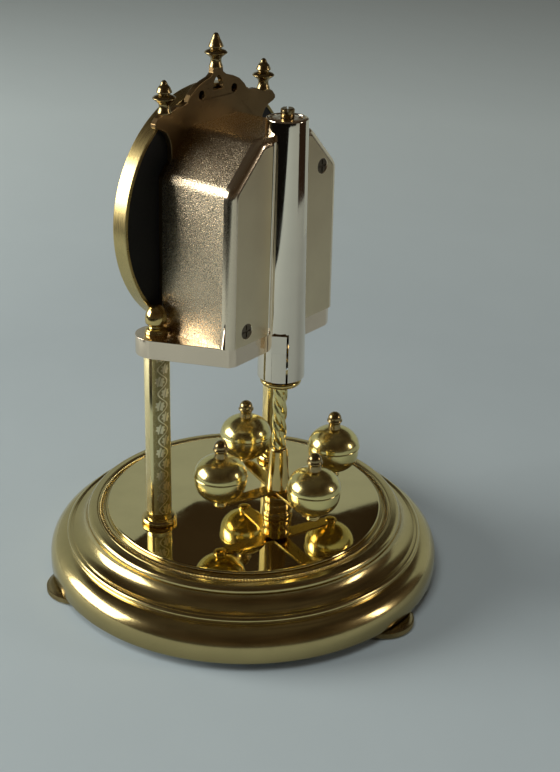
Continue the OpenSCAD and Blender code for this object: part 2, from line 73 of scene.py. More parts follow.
class Net:
    """A small helper that adds nodes to one material."""

    def __init__(self, name):
        self.m = bpy.data.materials.new(name)
        self.m.use_nodes = True
        self.t = self.m.node_tree
        self.p = self.t.nodes["Principled BSDF"]
        self.co = self.add("ShaderNodeTexCoord").outputs["Object"]

    def add(self, kind, **k):
        n = self.t.nodes.new(kind)
        for a, v in k.items():
            setattr(n, a, v)
        return n

    def link(self, a, b):
        self.t.links.new(a, b)

    def math(self, op, a, b=None, clamp=False):
        n = self.add("ShaderNodeMath", operation=op, use_clamp=clamp)
        for i, v in enumerate((a, b)):
            if v is None:
                continue
            if isinstance(v, (int, float)):
                n.inputs[i].default_value = v
            else:
                self.link(v, n.inputs[i])
        return n.outputs[0]

    def noise(self, scale, detail=3.0, rough=0.5, stretch=None, co=None, distort=0.0):
        src = co or self.co
        if stretch:
            mp = self.add("ShaderNodeMapping")
            mp.inputs["Scale"].default_value = stretch
            self.link(src, mp.inputs["Vector"])
            src = mp.outputs[0]
        n = self.add("ShaderNodeTexNoise")
        n.inputs["Scale"].default_value = scale
        n.inputs["Detail"].default_value = detail
        n.inputs["Roughness"].default_value = rough
        n.inputs["Distortion"].default_value = distort
        self.link(src, n.inputs["Vector"])
        return n.outputs["Fac"]

    def ramp(self, fac, stops):
        r = self.add("ShaderNodeValToRGB")
        els = r.color_ramp.elements
        while len(els) < len(stops):
            els.new(0.5)
        for e, (pos, c) in zip(els, stops):
            e.position = pos
            e.color = (c[0], c[1], c[2], 1.0) if hasattr(c, "__len__") else (c, c, c, 1.0)
        self.link(fac, r.inputs[0])
        return r.outputs[0]

    def mix(self, fac, a, b):
        n = self.add("ShaderNodeMix", data_type="RGBA")
        for i, v in ((0, fac), (6, a), (7, b)):
            if isinstance(v, (int, float)):
                n.inputs[i].default_value = v
            elif isinstance(v, (tuple, list)):
                n.inputs[i].default_value = (v[0], v[1], v[2], 1.0)
            else:
                self.link(v, n.inputs[i])
        return n.outputs[2]

    def span(self, fac, a, b, lo=0.0, hi=1.0):
        n = self.add("ShaderNodeMapRange")
        n.inputs["From Min"].default_value = lo
        n.inputs["From Max"].default_value = hi
        n.inputs["To Min"].default_value = a
        n.inputs["To Max"].default_value = b
        self.link(fac, n.inputs["Value"])
        return n.outputs[0]

    def bump(self, height, dist, strength=1.0, after=None):
        n = self.add("ShaderNodeBump")
        n.inputs["Strength"].default_value = strength
        n.inputs["Distance"].default_value = dist
        self.link(height, n.inputs["Height"])
        if after is not None:
            self.link(after, n.inputs["Normal"])
        return n.outputs[0]

    def done(self, color=None, rough=None, normal=None, metallic=1.0, **sock):
        if color is not None:
            self.link(color, self.p.inputs["Base Color"])
        if rough is not None:
            self.link(rough, self.p.inputs["Roughness"])
        if normal is not None:
            self.link(normal, self.p.inputs["Normal"])
        self.p.inputs["Metallic"].default_value = metallic
        for k, v in sock.items():
            self.p.inputs[k.replace("_", " ")].default_value = v
        return self.m


def shade(c, k):
    return tuple(min(1.0, v * k) for v in c)


def metal(name, col, r0, r1, grain=900.0, stretch=(1, 1, 1), depth=0.00001, tarnish=0.10, wave=0.0, spots=0.0, painted_foot_shade=0.0):
    """Metal whose colour drifts a little, with fine scratches along the stretched axis and, if asked, gentle waves and
    painted shade that darkens it towards the bottom.
    """
    n = Net(name)
    drift = n.noise(60, 3, 0.55)
    fine = n.noise(grain, 4, 0.65, stretch)
    col_o = n.mix(n.span(drift, 0, 1, 0.35, 0.65), shade(col, 1 - tarnish), shade(col, 1 + tarnish * 0.35))
    if spots:
        dots = n.noise(420, 2, 0.5)
        col_o = n.mix(n.span(dots, 0, spots, 0.62, 0.74), col_o, shade(col, 0.55))
    # painted shade: below 5 mm height the colour is pulled towards 0.35 of itself, fading out by 13 mm
    if painted_foot_shade:
        sep = n.add("ShaderNodeSeparateXYZ")
        n.link(n.co, sep.inputs[0])
        col_o = n.mix(n.span(sep.outputs[2], painted_foot_shade, 0, 0.005, 0.013), col_o, shade(col, 0.35))
    rough = n.math("MULTIPLY_ADD", n.span(fine, r0, r1, 0.3, 0.7), 1.0)
    # the third input of multiply-add carries the drift
    ma = rough.node
    n.link(n.span(drift, -0.01, 0.03, 0.3, 0.7), ma.inputs[2])
    nb = n.bump(fine, depth, 0.5)
    if wave:
        nb = n.bump(n.noise(22, 2, 0.4), wave, 1.0, nb)
    return n.done(col_o, rough, nb)


BRASS = (0.78, 0.64, 0.28)
DARKBRASS = (0.50, 0.38, 0.17)
CHAMP = (0.83, 0.72, 0.545)
M = {}
# the spun base gets painted shade towards its bottom edge (the last argument, 0.7)
M["spun"] = metal("spun_brass", (0.66, 0.53, 0.24), 0.13, 0.22, 3000, (1, 1, 8), 0.000004, 0.08, 0.00010, 0.18, 0.7)
M["mirror"] = metal("mirror_brass", (0.80, 0.67, 0.34), 0.015, 0.035, 1500, (1, 1, 1), 0.0000008, 0.06, 0.00001)
M["turned"] = metal("turned_brass", (0.74, 0.56, 0.22), 0.10, 0.22, 2500, (1, 1, 10), 0.000006, 0.15)
M["knob"] = metal("knob_brass", (0.40, 0.30, 0.14), 0.16, 0.30, 2500, (1, 1, 8), 0.000008, 0.25)
M["ball"] = metal("ball_brass", (0.84, 0.72, 0.31), 0.15, 0.24, 1800, (1, 1, 3), 0.000004, 0.08, 0.00004)
M["chrome"] = metal("champagne_plate_bright", (0.86, 0.77, 0.63), 0.03, 0.06, 1500, (4, 4, 1), 0.000001, 0.04, 0.00001)
M["rose"] = metal("rose_plate", (0.88, 0.73, 0.55), 0.10, 0.18, 1500, (1, 1, 1), 0.000004, 0.05)
M["polish"] = metal("champagne_polished", (0.86, 0.73, 0.54), 0.14, 0.22, 1500, (1, 1, 1), 0.000004, 0.04)
M["bezel"] = metal("bezel_satin", (0.56, 0.44, 0.19), 0.20, 0.34, 1200, (0.12, 14, 0.12), 0.00001, 0.10)
M["crest"] = metal("crest_satin", (0.30, 0.20, 0.09), 0.26, 0.40, 1600, (1, 1, 1), 0.00001, 0.16)
M["steel"] = metal("plain_steel", (0.55, 0.55, 0.57), 0.25, 0.42, 900, (1, 1, 1), 0.00001, 0.12)
M["spring"] = metal("spring_ribbon", (0.68, 0.55, 0.33), 0.20, 0.32, 1500, (1, 1, 0.1), 0.000004, 0.08)
M["copper"] = metal("copper_winding", (0.62, 0.26, 0.12), 0.25, 0.40, 5000, (0.2, 0.2, 1.4), 0.00006, 0.10)
M["magnet"] = metal("magnet_grey", (0.14, 0.14, 0.15), 0.45, 0.62, 1500, (1, 1, 1), 0.00002, 0.15)


def satin_plate():
    """Fine satin plate: a soft even grain too small to see as dots."""
    n = Net("champagne_satin")
    g = n.noise(2600, 4, 0.7)
    d = n.noise(45, 3, 0.5)
    c = n.mix(n.span(d, 0, 1, 0.3, 0.7), (0.70, 0.60, 0.405), (0.78, 0.68, 0.46))
    return n.done(c, n.span(g, 0.30, 0.46, 0.3, 0.7), n.bump(g, 0.00003, 0.55))


def grained_plate():
    """Coarse moulded grain under bright plate, which glitters at its tops; its pits carry painted shade."""
    n = Net("champagne_grain")
    v = n.add("ShaderNodeTexVoronoi", feature="F1")
    v.inputs["Scale"].default_value = 2600
    v.inputs["Randomness"].default_value = 1.0
    n.link(n.co, v.inputs["Vector"])
    g2 = n.noise(2600, 2, 0.5)
    h = n.math("ADD", n.math("MULTIPLY", v.outputs["Distance"], 0.8), n.math("MULTIPLY", g2, 0.35))
    d = n.noise(50, 3, 0.5)
    c = n.mix(n.span(d, 0, 1, 0.3, 0.7), (0.64, 0.54, 0.38), (0.71, 0.60, 0.43))
    # painted shade: the colour darkens to brown in the pits of the grain, round each cell's centre
    c = n.mix(n.span(v.outputs["Distance"], 0.55, 0.0, 0.15, 0.75), c, (0.30, 0.21, 0.12))
    return n.done(c, n.span(g2, 0.20, 0.32, 0.3, 0.7), n.bump(h, 0.00013, 0.8))


def etched_brass():
    """Pillar tube: every half turn a polished strip, a leafy vine on a dark hatched ground, a plain strip and a fine stipple."""
    n = Net("etched_brass")
    sx = n.add("ShaderNodeSeparateXYZ")
    n.link(n.co, sx.inputs[0])
    x, y, z = sx.outputs
    turn = n.math("MULTIPLY_ADD", n.math("ARCTAN2", y, x), 1 / pi)
    turn.node.inputs[2].default_value = 2 - 6.5 / 180
    deg = n.math("MULTIPLY", n.math("FRACT", turn), 180.0)
    mm = pi * 4.7 / 180                                                   # mm round the tube per degree
    u = n.math("MULTIPLY", n.math("SUBTRACT", deg, 62.5), mm)             # across the vine field, +-3.9
    zz = n.math("MULTIPLY", z, 1000.0)
    p = 9.6
    wav = n.math("SINE", n.math("MULTIPLY", zz, 2 * pi / p))
    off = n.math("SUBTRACT", u, n.math("MULTIPLY", wav, 1.8))
    stem = n.span(n.math("ABSOLUTE", off), 1, 0, 0.26, 0.38)
    # a leaf in each bay of the wave, with a dark midrib and notched edge
    zq = n.math("SUBTRACT", n.math("MODULO", n.math("ADD", zz, 400 * p), p / 2), p / 4)
    uc = n.math("ADD", u, n.math("MULTIPLY", n.math("SIGN", wav), 1.1))
    wob = n.math("MULTIPLY", n.math("SINE", n.math("MULTIPLY", n.math("ARCTAN2", zq, uc), 7.0)), 0.26)
    d = n.math("SQRT", n.math("ADD", n.math("MULTIPLY", uc, uc), n.math("MULTIPLY", n.math("MULTIPLY", zq, zq), 0.75)))
    leaf = n.span(n.math("ADD", d, wob), 1, 0, 1.50, 1.70)
    rib = n.span(n.math("ABSOLUTE", n.math("SUBTRACT", uc, n.math("MULTIPLY", zq, 0.25))), 0, 1, 0.06, 0.18)
    vine = n.math("MAXIMUM", stem, n.math("MULTIPLY", leaf, rib))
    fine = n.noise(3400, 2, 0.5)
    speck = n.span(fine, 0, 0.45, 0.50, 0.66)
    hatch = n.span(n.math("SINE", n.math("MULTIPLY", n.math("ADD", u, zz), 2 * pi / 0.55)), 0, 0.22, 0.2, 0.9)
    art = n.math("MAXIMUM", n.math("MAXIMUM", vine, hatch), speck)
    q = 2 * pi / 0.70
    lat = n.math("MULTIPLY", n.math("SINE", n.math("MULTIPLY", n.math("ADD", u, zz), q)), n.math("SINE", n.math("MULTIPLY", n.math("SUBTRACT", u, zz), q)))
    dots = n.span(lat, 0, 0.85, 0.0, 0.4)
    ends = n.math("MULTIPLY", n.span(zz, 0, 1, 5.0, 5.3), n.span(zz, 1, 0, 68.6, 68.9))
    leafy = n.math("MULTIPLY", ends, n.math("MULTIPLY", n.span(deg, 0, 1, 14.5, 15.5), n.span(deg, 1, 0, 109.5, 110.5)))
    stipple = n.math("MULTIPLY", ends, n.math("MULTIPLY", n.span(deg, 0, 1, 124.5, 125.5), n.span(deg, 1, 0, 179.0, 180.0)))
    cut = n.math("ADD", n.math("MULTIPLY", leafy, n.math("SUBTRACT", 1.0, art)), n.math("MULTIPLY", stipple, n.math("MULTIPLY", n.math("SUBTRACT", 1.0, dots), 0.75)))
    field = n.math("ADD", leafy, stipple)
    col = n.mix(field, (0.86, 0.75, 0.40), (0.92, 0.84, 0.54))
    col = n.mix(cut, col, (0.34, 0.29, 0.11))
    rough = n.math("ADD", n.math("ADD", n.math("MULTIPLY", field, 0.16), 0.14), n.math("ADD", n.math("MULTIPLY", fine, 0.06), n.math("MULTIPLY", cut, 0.22)))
    return n.done(col, rough, n.bump(n.math("MULTIPLY", cut, -1.0), 0.00010, 0.8))


def plastic(name, col, rough=0.45, grain=900, depth=0.00002, spec=0.5):
    n = Net(name)
    g = n.noise(grain, 3, 0.6)
    d = n.noise(70, 3, 0.5)
    c = n.mix(n.span(d, 0, 1, 0.3, 0.7), shade(col, 0.9), shade(col, 1.08))
    return n.done(c, n.span(g, rough - 0.06, rough + 0.08, 0.3, 0.7), n.bump(g, depth, 0.5), metallic=0.0, Specular_IOR_Level=spec)


def board():
    """Circuit board: green mask with paler copper tracks showing through."""
    n = Net("circuit_board")
    b = n.add("ShaderNodeTexBrick")
    b.inputs["Scale"].default_value = 260
    b.inputs["Mortar Size"].default_value = 0.05
    b.inputs["Color1"].default_value = (0.02, 0.10, 0.04, 1)
    b.inputs["Color2"].default_value = (0.02, 0.12, 0.05, 1)
    b.inputs["Mortar"].default_value = (0.12, 0.30, 0.10, 1)
    mp = n.add("ShaderNodeMapping")
    mp.inputs["Rotation"].default_value = (pi / 2, 0, 0)
    n.link(n.co, mp.inputs["Vector"])
    n.link(mp.outputs[0], b.inputs["Vector"])
    return n.done(b.outputs["Color"], n.span(n.noise(800), 0.3, 0.4), n.bump(b.outputs["Fac"], 0.00003, 0.4), metallic=0.0)


def cell():
    """Battery can: copper-coloured shoulder, dark wrap."""
    n = Net("battery_wrap")
    sx = n.add("ShaderNodeSeparateXYZ")
    n.link(n.co, sx.inputs[0])
    top = n.span(sx.outputs[0], 0, 1, 0.0125, 0.0128)
    c = n.mix(top, (0.025, 0.028, 0.035), (0.62, 0.36, 0.16))
    return n.done(c, n.span(n.noise(700), 0.22, 0.34), n.bump(n.noise(500), 0.00001, 0.3), metallic=0.6)


def dial_enamel():
    n = Net("dial_enamel")
    g = n.noise(350, 4, 0.6)
    c = n.mix(n.span(g, 0, 1, 0.3, 0.7), (0.86, 0.83, 0.74), (0.92, 0.89, 0.81))
    return n.done(c, n.span(n.noise(900), 0.28, 0.38), n.bump(g, 0.00001, 0.3), metallic=0.0, Coat_Weight=0.4)


M["satin"] = satin_plate()
M["grain"] = grained_plate()
M["etched"] = etched_brass()
# the dial's back is coloured near-black all over
M["black"] = plastic("black_paint", (0.012, 0.011, 0.010), 0.55, 1200, 0.00002, 0.25)
M["hands"] = plastic("hand_black", (0.016, 0.015, 0.014), 0.30, 1500, 0.00001, 0.5)
M["case"] = plastic("case_plastic", (0.022, 0.022, 0.024), 0.42, 1400, 0.00003)
M["nylon"] = plastic("nylon_white", (0.80, 0.78, 0.71), 0.40, 1100)
M["board"] = board()
M["cell"] = cell()
M["enamel"] = dial_enamel()
M["print"] = plastic("dial_print", (0.02, 0.018, 0.016), 0.45, 2000, 0.000004, 0.4)
# painted shade: the deep walls and floors of the sunk screw holes, the screw heads in them and the cover's hidden
# inside are coloured dark bronze to stand in for the shade there
M["recess"] = metal("painted_recess_shade", (0.16, 0.13, 0.09), 0.25, 0.40, 1500, (1, 1, 1), 0.00001, 0.2)

# ---------------------------------------------------------------- mesh helpers


def piece(name, verts, faces, mats, node, at=(0, 0, 0), sharp=38.0, fmat=None, hide=()):
    me = bpy.data.meshes.new(name)
    me.from_pydata([tuple(v) for v in verts], [], [tuple(f) for f in faces])
    mats = mats if isinstance(mats, (list, tuple)) else [mats]
    for m in mats:
        me.materials.append(m)
    me.update()
    if fmat:
        for p, i in zip(me.polygons, fmat):
            p.material_index = i
    bm = bmesh.new()
    bm.from_mesh(me)
    bmesh.ops.remove_doubles(bm, verts=bm.verts, dist=2e-7)
    bmesh.ops.recalc_face_normals(bm, faces=bm.faces)
    bm.to_mesh(me)
    bm.free()
    for p in me.polygons:
        p.use_smooth = True
    me.set_sharp_from_angle(angle=radians(sharp))
    ob = bpy.data.objects.new(name, me)
    bpy.context.scene.collection.objects.link(ob)
    ob.location = at
    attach(ob, BODY[node])
    return ob


def revolve(profile, seg=160, rfun=None):
    """Vertices and faces of a closed profile [(r, z)] in mm turned about Z. rfun(angle, r, z) may reshape r."""
    vs, fs = [], []
    n = len(profile)
    for i in range(seg):
        a = 2 * pi * i / seg
        for r, z in profile:
            rr = rfun(a, r, z) if rfun else r
            vs.append((rr * cos(a) * MM, rr * sin(a) * MM, z * MM))
    for i in range(seg):
        j = (i + 1) % seg
        for k in range(n):
            l = (k + 1) % n
            r0, r1 = profile[k][0], profile[l][0]
            if r0 < 1e-6 and r1 < 1e-6:
                continue
            q = [i * n + k, j * n + k, j * n + l, i * n + l]
            if r0 < 1e-6:
                q = [i * n + k, j * n + l, i * n + l]
            elif r1 < 1e-6:
                q = [i * n + k, j * n + k, i * n + l]
            fs.append(q)
    return vs, fs


def arc(cx, cz, a, b, t0, t1, n=10):
    return [(cx + a * cos(radians(t0 + (t1 - t0) * i / n)), cz + b * sin(radians(t0 + (t1 - t0) * i / n))) for i in range(n + 1)]


def smooth_path(pts, k=4):
    """Catmull-Rom through an open profile, k points a span."""
    out = []
    for i in range(len(pts) - 1):
        p0, p1, p2, p3 = pts[max(i - 1, 0)], pts[i], pts[i + 1], pts[min(i + 2, len(pts) - 1)]
        for s in range(k):
            t = s / k
            out.append(tuple(0.5 * (2 * p1[c] + (p2[c] - p0[c]) * t + (2 * p0[c] - 5 * p1[c] + 4 * p2[c] - p3[c]) * t * t
                                    + (3 * p1[c] - p0[c] - 3 * p2[c] + p3[c]) * t ** 3) for c in (0, 1)))
    out.append(pts[-1])
    return [(max(0.0, p[0]), p[1]) for p in out]


def rounded(pts, r=0.25, n=3, closed=True):
    """Rounds the corners of a closed profile by up to r."""
    out = []
    m = len(pts)
    for i in range(m):
        p0, p1, p2 = pts[i - 1], pts[i], pts[(i + 1) % m]
        a = (p0[0] - p1[0], p0[1] - p1[1])
        b = (p2[0] - p1[0], p2[1] - p1[1])
        la, lb = math.hypot(*a), math.hypot(*b)
        if la < 1e-6 or lb < 1e-6 or p1[0] < 1e-6:
            out.append(p1)
            continue
        cr = abs(a[0] * b[1] - a[1] * b[0]) / (la * lb)
        if cr < 0.25:
            out.append(p1)
            continue
        q = min(r, la * 0.42, lb * 0.42)
        s = (p1[0] + a[0] / la * q, p1[1] + a[1] / la * q)
        e = (p1[0] + b[0] / lb * q, p1[1] + b[1] / lb * q)
        for k in range(n + 1):
            t = k / n
            out.append(((1 - t) ** 2 * s[0] + 2 * t * (1 - t) * p1[0] + t * t * e[0], (1 - t) ** 2 * s[1] + 2 * t * (1 - t) * p1[1] + t * t * e[1]))
    return out


def join(parts):
    vs, fs = [], []
    for v, f in parts:
        b = len(vs)
        vs += v
        fs += [[i + b for i in q] for q in f]
    return vs, fs


def move(part, x=0, y=0, z=0, rot=0.0):
    v, f = part
    c, s = cos(rot), sin(rot)
    return [(c * p[0] - s * p[1] + x, s * p[0] + c * p[1] + y, p[2] + z) for p in v], f


def dress(node, mat, bevel=0.0, seg=2, angle=40):
    """Gives a CAD node its material and, if asked, softened edges."""
    ob = NODES[node]
    ob.data.materials.clear()
    mats = mat if isinstance(mat, (list, tuple)) else [mat]
    for m in mats:
        ob.data.materials.append(m)
    if bevel:
        w = ob.modifiers.new("weld", "WELD")
        w.merge_threshold = 0.000002
        b = ob.modifiers.new("bevel", "BEVEL")
        b.width = bevel * MM
        b.segments = seg
        b.limit_method = "ANGLE"
        b.angle_limit = radians(angle)
        b.harden_normals = True
        b.use_clamp_overlap = True
    return ob


AX = (TX, TY, 0)
BASE = (CX, CY, 0)

# ---------------------------------------------------------------- base
R = 76.0
shell = ([(50, 26.4), (53.7, 26.4)] + arc(53.9, 26.2, 0.2, 0.2, 80, 0, 3) + [(54.1, 25.55), (54.2, 25.5), (57.4, 25.5), (57.5, 25.6)]
         + arc(57.75, 26.15, 0.25, 0.25, 180, 80, 4) + [(58.4, 26.33)] + arc(59.3, 24.2, 2.0, 2.05, 88, 0, 12)
         + [(61.28, 23.9), (61.1, 23.6), (61.0, 23.2)] + arc(67.6, 25.0, 6.6, 6.4, 196, 262, 16)
         + [(67.0, 18.62), (67.25, 18.74)] + arc(68.2, 17.55, 1.15, 1.15, 125, -35, 10) + [(69.05, 16.75), (69.15, 16.45)]
         + arc(68.6, 8.2, R - 68.6, 8.2, 84, 0, 34) + [(R, 6.2), (R, 5.2), (75.9, 4.6), (75.6, 4.15), (75.2, 4.0), (74.7, 4.05), (74.6, 4.4), (74.6, 8.0)]
         + arc(68.3, 8.0, 6.3, 6.9, 8, 80, 12) + [(67.4, 16.6), (66.6, 17.3), (63.6, 18.3), (61.2, 19.9), (59.8, 21.9), (59.6, 23.5), (58.6, 24.0), (50, 24.4)])
v, f = revolve(shell, 288)
ob = piece("base_spinning", v, f, M["spun"], "base_shell", BASE, 50)
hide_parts("base_shell")

plate = [(0, 26.4), (53.15, 26.4)] + arc(52.7, 27.1, 0.6, 0.6, -10, 90, 8) + [(52.2, 27.7), (51.6, 27.7), (0, 27.7)]
v, f = revolve(plate, 288)
ob = piece("mirror_disc", v, f, M["mirror"], "mirror_plate", BASE, 50)
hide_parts("mirror_plate")

# the ring the dome stands on: two fine lips and a milled row of beads
ring = [(54.2, 25.5), (57.35, 25.5), (57.4, 26.15), (57.1, 26.42), (56.8, 26.15), (56.6, 26.0), (55.0, 26.0), (54.8, 26.15), (54.5, 26.42), (54.2, 26.15)]
parts = [revolve(rounded(ring, 0.12, 2), 240)]
nb = 300
for i in range(nb):
    a = 2 * pi * i / nb
    bead = revolve([(0, 25.9), (0.36, 26.0), (0.42, 26.25), (0.30, 26.5), (0, 26.6)], 6)
    bead = ([(p[0] * 1.35, p[1], p[2]) for p in bead[0]], bead[1])
    parts.append(move(bead, 55.8 * cos(a) * MM, 55.8 * sin(a) * MM, 0, a))
v, f = join(parts)
ob = piece("milled_ring", v, f, M["spun"], "beaded_ring", BASE, 60)
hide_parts("beaded_ring")

dress("bottom_plate", M["steel"], 0.2)
dress("foot_bushes", M["turned"], 0.2)
for n in ("foot_left", "foot_right", "foot_rear"):
    dress(n, M["knob"], 0.08, 1, 25)
cup = rounded([(0, 27.7), (5.95, 27.7), (5.95, 29.3), (5.35, 29.75), (5.6, 30.15), (5.6, 32.9), (5.3, 33.05), (5.3, 33.55), (5.6, 33.7), (5.6, 36.5), (5.1, 36.95), (4.45, 36.95), (4.2, 36.6), (4.2, 30.4), (0, 30.4)], 0.22, 3)
v, f = revolve(cup, 96)
ob = piece("guide_socket", v, f, M["turned"], "guide_cup", AX, 50)
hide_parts("guide_cup")

# ---------------------------------------------------------------- pillars
tube = [(2.1, 0.0), (4.55, 0.0), (4.7, 0.2), (4.7, 70.1), (4.55, 70.3), (2.1, 70.3)]
for s, nm in ((-1, "left"), (1, "right")):
    v, f = revolve(tube, 128)
    ob = piece("pillar_" + nm, v, f, M["etched"], "pillars", (CX + s * PX, PY, 27.7 * MM), 50)
    ob.rotation_euler = (0, 0, 0)
    if s < 0:
        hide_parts("pillars")
    col = [(4.7, 0.02)] + arc(5.5, 1.3, 1.19, 1.28, -88, 80, 18) + [(4.7, 2.58)]
    v, f = revolve(col, 96)
    ob = piece("collar_" + nm, v, f, M["turned"], "pillar_collars", (CX + s * PX, PY, 27.7 * MM), 50)
    if s < 0:
        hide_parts("pillar_collars")
    nut = ([(2.05, 0.0), (4.05, 0.0), (4.2, 0.15), (4.2, 0.75), (4.1, 0.95), (3.95, 1.05), (3.9, 1.2), (3.9, 1.75), (3.7, 2.0), (3.0, 2.2), (2.65, 2.6), (2.6, 3.1), (2.85, 3.5), (3.4, 3.75)]
           + arc(0, 5.5, 4.0, 5.4, -15, 88, 22) + [(0, 10.9), (0, 5.1), (2.05, 5.1)])
    v, f = revolve(nut, 96)
    ob = piece("acorn_" + nm, v, f, M["turned"], "acorn_nuts", (CX + s * PX, PY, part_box("acorn_nuts")[0][2]), 50)
    if s < 0:
        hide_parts("acorn_nuts")
dress("tie_rods", M["steel"], 0.15)
dress("base_nuts", M["steel"], 0.25)
dress("platform", M["rose"], 0.7, 4, 60)

# ---------------------------------------------------------------- back cover
lo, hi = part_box("back_cover")
CW, ZB, ZT = (hi[0] - lo[0]) / 2 / MM, lo[2] / MM, hi[2] / MM
YF, YB = (lo[1] - CY) / MM, (hi[1] - CY) / MM
CH, CW2, CW3 = 161.0, 29.0, 13.8


def fillet(p0, p1, p2, r, n):
    """Points of a true arc of radius r in the corner p1."""
    a = Vector((p0[0] - p1[0], p0[1] - p1[1])).normalized()
    b = Vector((p2[0] - p1[0], p2[1] - p1[1])).normalized()
    ang = a.angle(b)
    d = r / math.tan(ang / 2)
    c = Vector(p1) + (a + b).normalized() * (r / sin(ang / 2))
    s, e = Vector(p1) + a * d, Vector(p1) + b * d
    t0 = atan2(s.y - c.y, s.x - c.x)
    t1 = atan2(e.y - c.y, e.x - c.x)
    dt = (t1 - t0 + pi) % (2 * pi) - pi
    return [(c.x + r * cos(t0 + dt * i / n), c.y + r * sin(t0 + dt * i / n)) for i in range(n + 1)]


half = [(CW, ZB), (CW - 0.16, ZB + 10), (CW - 0.48, ZB + 30)] + fillet((CW, ZB), (CW2, CH), (CW3, ZT), 6.0, 8) + fillet((CW2, CH), (CW3, ZT), (-CW3, ZT), 6.0, 8)
outline = half + [(-p[0], p[1]) for p in reversed(half)]


def inset(pts, d):
    """Moves an open outline in by d along its normals; its first and last point keep their height."""
    out = []
    for i, p in enumerate(pts):
        a = pts[max(i - 1, 0)]
        b = pts[min(i + 1, len(pts) - 1)]
        t = Vector((b[0] - a[0], b[1] - a[1])).normalized()
        out.append((p[0] - t.y * d, p[1] + t.x * d) if i not in (0, len(pts) - 1) else (p[0] - t.y * d, p[1]))
    return out


RC = 2.8
rows = [(YF, 0.0, 1), (YF + 1.0, 0.0, 0), (YF + 10, 0.0, 0), (YB - RC - 1.2, 0.0, 0)]
rows += [(YB - RC + RC * sin(radians(t)), RC * (1 - cos(radians(t))), 2) for t in (0, 12, 24, 36, 48, 60, 72, 82, 90)]
verts, faces, fm = [], [], []
for y, d, k in rows:
    for p in inset(outline, d) if d else outline:
        verts.append(((p[0]) * MM, y * MM, p[1] * MM))
no = len(outline)
for i in range(len(rows) - 1):
    for k in range(no - 1):
        faces.append([i * no + k, i * no + k + 1, (i + 1) * no + k + 1, (i + 1) * no + k])
        fm.append(1 if rows[i][2] == 2 or rows[i + 1][2] == 2 and i >= 3 else 0)
last = (len(rows) - 1) * no
# the back panel, in two halves beside the tube, each with its sunk screw hole
holes = [(20.9, 110.0), (-19.7, 161.1)]
flat_out = [(verts[last + k][0] / MM, verts[last + k][2] / MM) for k in range(no)]
for s in (1, -1):
    loop = [p for p in flat_out if p[0] * s > 7.0]
    if s < 0:
        loop = loop[::-1]
    top = max(p[1] for p in flat_out)
    loop = loop + [(s * 6.6, top), (s * 6.6, ZB)]
    hx, hz = holes[0] if s > 0 else holes[1]
    circ = [(hx + 2.85 * cos(2 * pi * i / 40), hz + 2.85 * sin(2 * pi * i / 40)) for i in range(40)]
    rings = [loop, circ]
    tri = tessellate_polygon([[Vector((p[0], p[1], 0)) for p in rg] for rg in rings])
    base = len(verts)
    for rg in rings:
        for p in rg:
            verts.append((p[0] * MM, YB * MM, p[1] * MM))
    for t in tri:
        faces.append([base + i for i in t])
        fm.append(2)
    # the sunk hole: rolled rim, wall and floor; the deeper wall and the floor take the dark painted-shade material
    prof = [(2.85, 0.0), (2.7, -0.12), (2.62, -0.35), (2.62, -1.9), (1.6, -1.9)]
    for i in range(40):
        for r, y in prof:
            a = 2 * pi * i / 40
            verts.append(((hx + r * cos(a)) * MM, (YB + y) * MM, (hz + r * sin(a)) * MM))
    b2 = base + len(loop) + 40
    for i in range(40):
        j = (i + 1) % 40
        for k in range(len(prof) - 1):
            faces.append([b2 + i * 5 + k, b2 + j * 5 + k, b2 + j * 5 + k + 1, b2 + i * 5 + k + 1])
            fm.append(3 if k > 1 else 1)
# floor of the cover and its inner skin, so that it stays a shell
me_faces = len(faces)
b3 = len(verts)
inner = inset(outline, 1.6)
for y in (YF, YB - 1.9):
    for p in inner:
        verts.append((p[0] * MM, y * MM, max(p[1], ZB + 1.6) * MM))
for k in range(no - 1):
    faces.append([b3 + k, b3 + k + 1, b3 + no + k + 1, b3 + no + k])
    fm.append(3)
    faces.append([k, k + 1, b3 + k + 1, b3 + k])
    fm.append(3)
x0 = CW
fl = [(-x0, YF), (x0, YF), (x0, YB - RC)] + [(x0 - RC + RC * cos(radians(t)), YB - RC + RC * sin(radians(t))) for t in (20, 45, 70, 90)]
fl += [(8.6, YB), (7.6, YB - 8.5), (0, YB - 10.4), (-7.6, YB - 8.5), (-8.6, YB)]
fl += [(-x0 + RC - RC * cos(radians(t)), YB - RC + RC * sin(radians(t))) for t in (90, 70, 45, 20)] + [(-x0, YB - RC)]
b4 = len(verts)
for zz in (ZB, ZB + 1.6):
    for p in fl:
        verts.append((p[0] * MM, p[1] * MM, zz * MM))
tri = tessellate_polygon([[Vector((p[0], p[1], 0)) for p in fl]])
for t in tri:
    faces.append([b4 + i for i in t])
    fm.append(3)
    faces.append([b4 + len(fl) + i for i in t])
    fm.append(3)
me = bpy.data.meshes.new("plated_cover")
me.from_pydata(verts, [], faces)
for m in (M["grain"], M["polish"], M["satin"], M["recess"]):
    me.materials.append(m)
me.update()
for p, i in zip(me.polygons, fm):
    p.material_index = i
bm = bmesh.new()
bm.from_mesh(me)
bmesh.ops.remove_doubles(bm, verts=bm.verts, dist=2e-6)
bmesh.ops.recalc_face_normals(bm, faces=bm.faces)
bm.to_mesh(me)
bm.free()
for p in me.polygons:
    p.use_smooth = True
me.set_sharp_from_angle(angle=radians(32))
for p in me.polygons:
    # the flat back panel keeps one normal all over
    p.use_smooth = p.material_index != 2
ob = bpy.data.objects.new("plated_cover", me)
bpy.context.scene.collection.objects.link(ob)
ob.location = (CX, CY, 0)
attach(ob, BODY["back_cover"])
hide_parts("back_cover")
